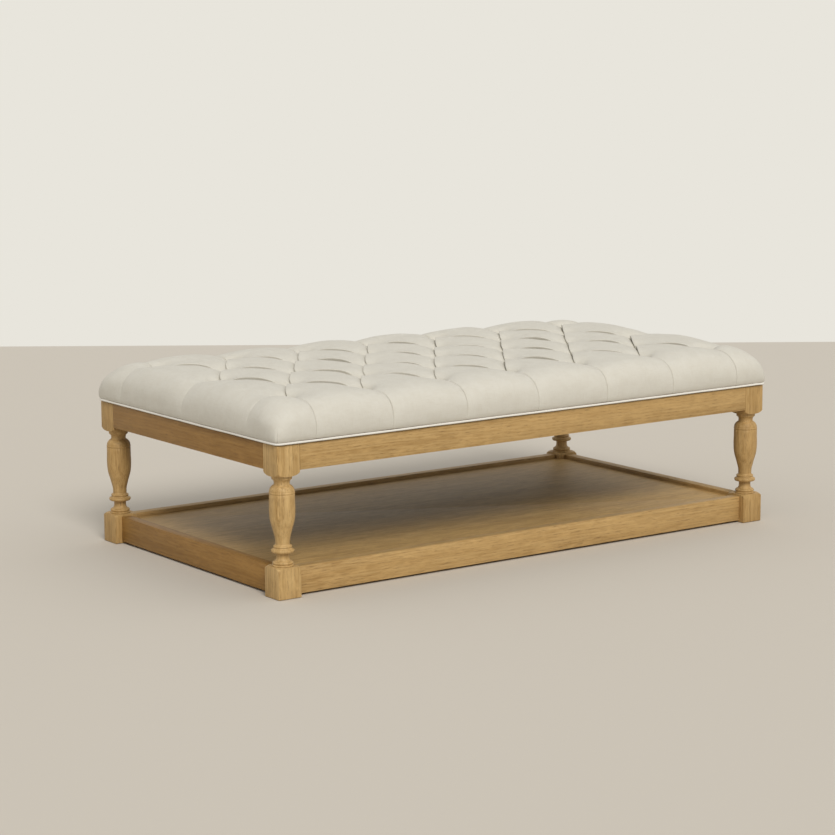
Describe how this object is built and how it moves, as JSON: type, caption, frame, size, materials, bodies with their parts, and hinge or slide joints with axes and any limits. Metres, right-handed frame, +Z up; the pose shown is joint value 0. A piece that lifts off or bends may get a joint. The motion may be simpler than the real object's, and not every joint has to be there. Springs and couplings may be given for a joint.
{
  "type": "ottoman coffee table",
  "caption": "Rectangular ottoman coffee table: diamond tufted cushion on an oak frame with turned legs and a low open shelf.",
  "frame": {"origin": "on the floor under the middle of the table", "axes": "+X along the length, +Y towards the back, +Z up"},
  "size_m": [1.474, 0.824, 0.4521],
  "materials": {
    "oak": "satin, open straight grain",
    "softwood": "planed, bare",
    "dowel_beech": "fluted, bare",
    "plywood": "sanded, bare",
    "zinc_steel": "zinc plated",
    "linen": "matt plain weave",
    "piping_linen": "matt plain weave, brighter than the cover",
    "foam": "open cell foam",
    "twine": "waxed twine",
    "dust_cloth": "matt non-woven cloth",
    "glide_felt": "dense felt"
  },
  "bodies": {
    "root": {"apron_back": "oak", "apron_dowels": "dowel_beech", "apron_front": "oak", "apron_left": "oak", "apron_right": "oak", "cleat_screws": "zinc_steel", "corner_block_back_left": "softwood", "corner_block_back_right": "softwood", "corner_block_front_left": "softwood", "corner_block_front_right": "softwood", "corner_block_screws": "zinc_steel", "cross_member_dowels": "dowel_beech", "deck_screws": "zinc_steel", "dust_cover": "dust_cloth", "dust_cover_staples": "zinc_steel", "foam_core": "foam", "foot_glide_back_left": "glide_felt", "foot_glide_back_right": "glide_felt", "foot_glide_front_left": "glide_felt", "foot_glide_front_right": "glide_felt", "leg_back_left": "oak", "leg_back_right": "oak", "leg_front_left": "oak", "leg_front_right": "oak", "lower_rail_back": "oak", "lower_rail_dowels": "dowel_beech", "lower_rail_front": "oak", "lower_rail_left": "oak", "lower_rail_right": "oak", "piping": "piping_linen", "seat_cross_rail_left": "softwood", "seat_cross_rail_right": "softwood", "seat_deck": "plywood", "shelf_bearer_left": "softwood", "shelf_bearer_right": "softwood", "shelf_cleat_back_left": "softwood", "shelf_cleat_back_middle": "softwood", "shelf_cleat_back_right": "softwood", "shelf_cleat_front_left": "softwood", "shelf_cleat_front_middle": "softwood", "shelf_cleat_front_right": "softwood", "shelf_cleat_left": "softwood", "shelf_cleat_right": "softwood", "shelf_panel": "oak", "shelf_screws": "zinc_steel", "tuft_buttons": "linen", "tuft_twines": "twine", "tufted_cover": "linen"}
  },
  "joints": []
}
